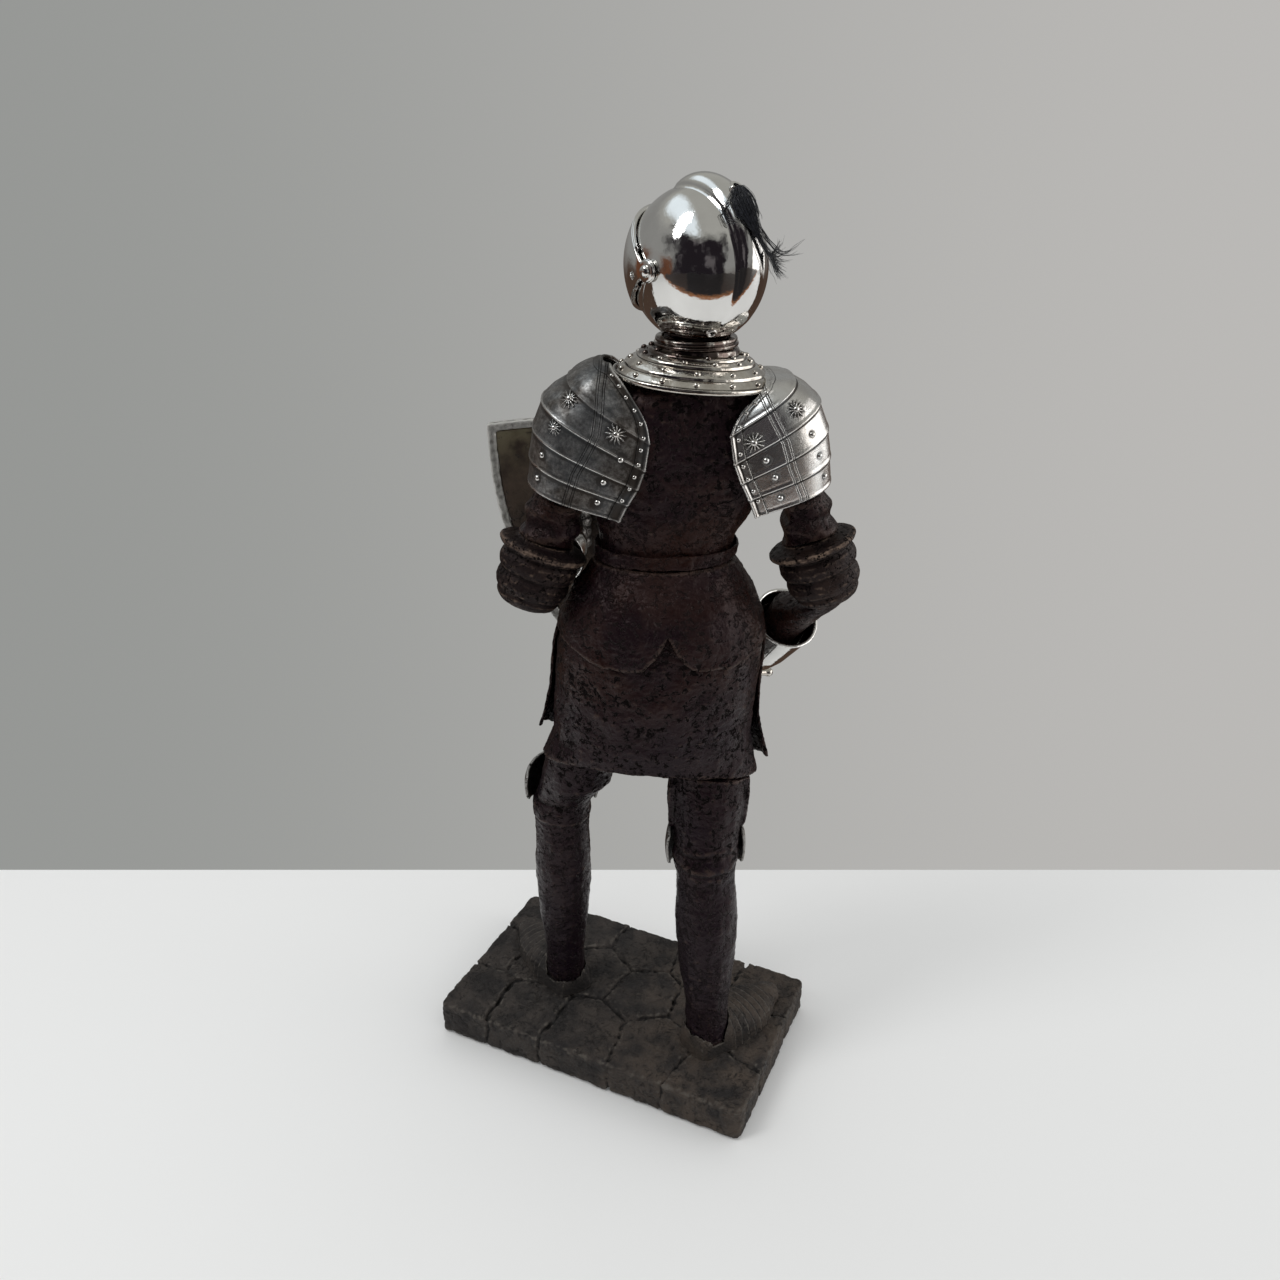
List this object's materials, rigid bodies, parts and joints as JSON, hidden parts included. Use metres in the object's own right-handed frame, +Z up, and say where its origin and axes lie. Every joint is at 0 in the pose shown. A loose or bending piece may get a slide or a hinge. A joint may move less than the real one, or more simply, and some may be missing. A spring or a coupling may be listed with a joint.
{
  "type": "knight figure",
  "caption": "Display figure of a knight in plate armour on a cobbled plinth, with a helmet that turns, a visor that lifts, a shield and a grounded sword.",
  "frame": {"origin": "centre of the plinth's underside", "axes": "+Z up the figure, X along the plinth's long side, the figure looks towards -Y turned about 27 degrees to +X"},
  "size_m": [0.1653, 0.1156, 0.3821],
  "materials": {
    "dark_resin": "pitted cast resin, dark brown wash with worn edges",
    "mirror_plate": "bright mirror plating",
    "antique_pewter": "antiqued pewter plating, engraved",
    "stone_cast": "matt cast cobblestones",
    "felt": "felt",
    "hair": "dark blue-black hair",
    "black_core": "matt black",
    "brown_board": "dark brown inside face",
    "leather_brown": "satin dark brown"
  },
  "bodies": {
    "statue": {"plinth": "stone_cast", "felt": "felt", "left_sabaton": "dark_resin", "right_sabaton": "dark_resin", "left_greave": "dark_resin", "right_greave": "dark_resin", "left_poleyn": "antique_pewter", "right_poleyn": "antique_pewter", "left_cuisse": "dark_resin", "right_cuisse": "dark_resin", "skirt": "dark_resin", "apron": "dark_resin", "culet": "dark_resin", "belt": "dark_resin", "backplate": "dark_resin", "breastplate": "dark_resin", "neck_post": "dark_resin", "gorget": "mirror_plate", "neck_lames": "mirror_plate", "left_pauldron": "antique_pewter", "right_pauldron": "antique_pewter", "left_upper_arm": "dark_resin", "right_upper_arm": "dark_resin", "left_couter": "dark_resin", "right_couter": "dark_resin", "left_forearm": "dark_resin", "right_forearm": "dark_resin", "left_gauntlet": "mirror_plate", "right_gauntlet": "mirror_plate", "left_fist": "antique_pewter", "right_fist": "antique_pewter", "shield_board": "brown_board", "shield_rim": "antique_pewter", "shield_grip": "leather_brown", "sword_blade": "mirror_plate", "sword_guard": "mirror_plate", "sword_grip": "leather_brown", "sword_pommel": "mirror_plate"},
    "helmet": {"skull": "mirror_plate", "head_core": "black_core", "bevor": "mirror_plate", "visor_pivots": "mirror_plate", "plume_holder": "mirror_plate", "plume": "hair"},
    "visor": {"visor": "mirror_plate"}
  },
  "joints": [
    {"name": "helmet_turn", "type": "hinge", "parent": "statue", "child": "helmet", "pos_m": [-0.02836, -0.00377, 0.33], "axis": [0, 0, 1], "range_deg": [-91, 29]},
    {"name": "visor_lift", "type": "hinge", "parent": "helmet", "child": "visor", "pos_m": [-0.02836, -0.00377, 0.35252], "axis": [-0.4226, -0.9063, 0], "range_deg": [0, 32]}
  ]
}
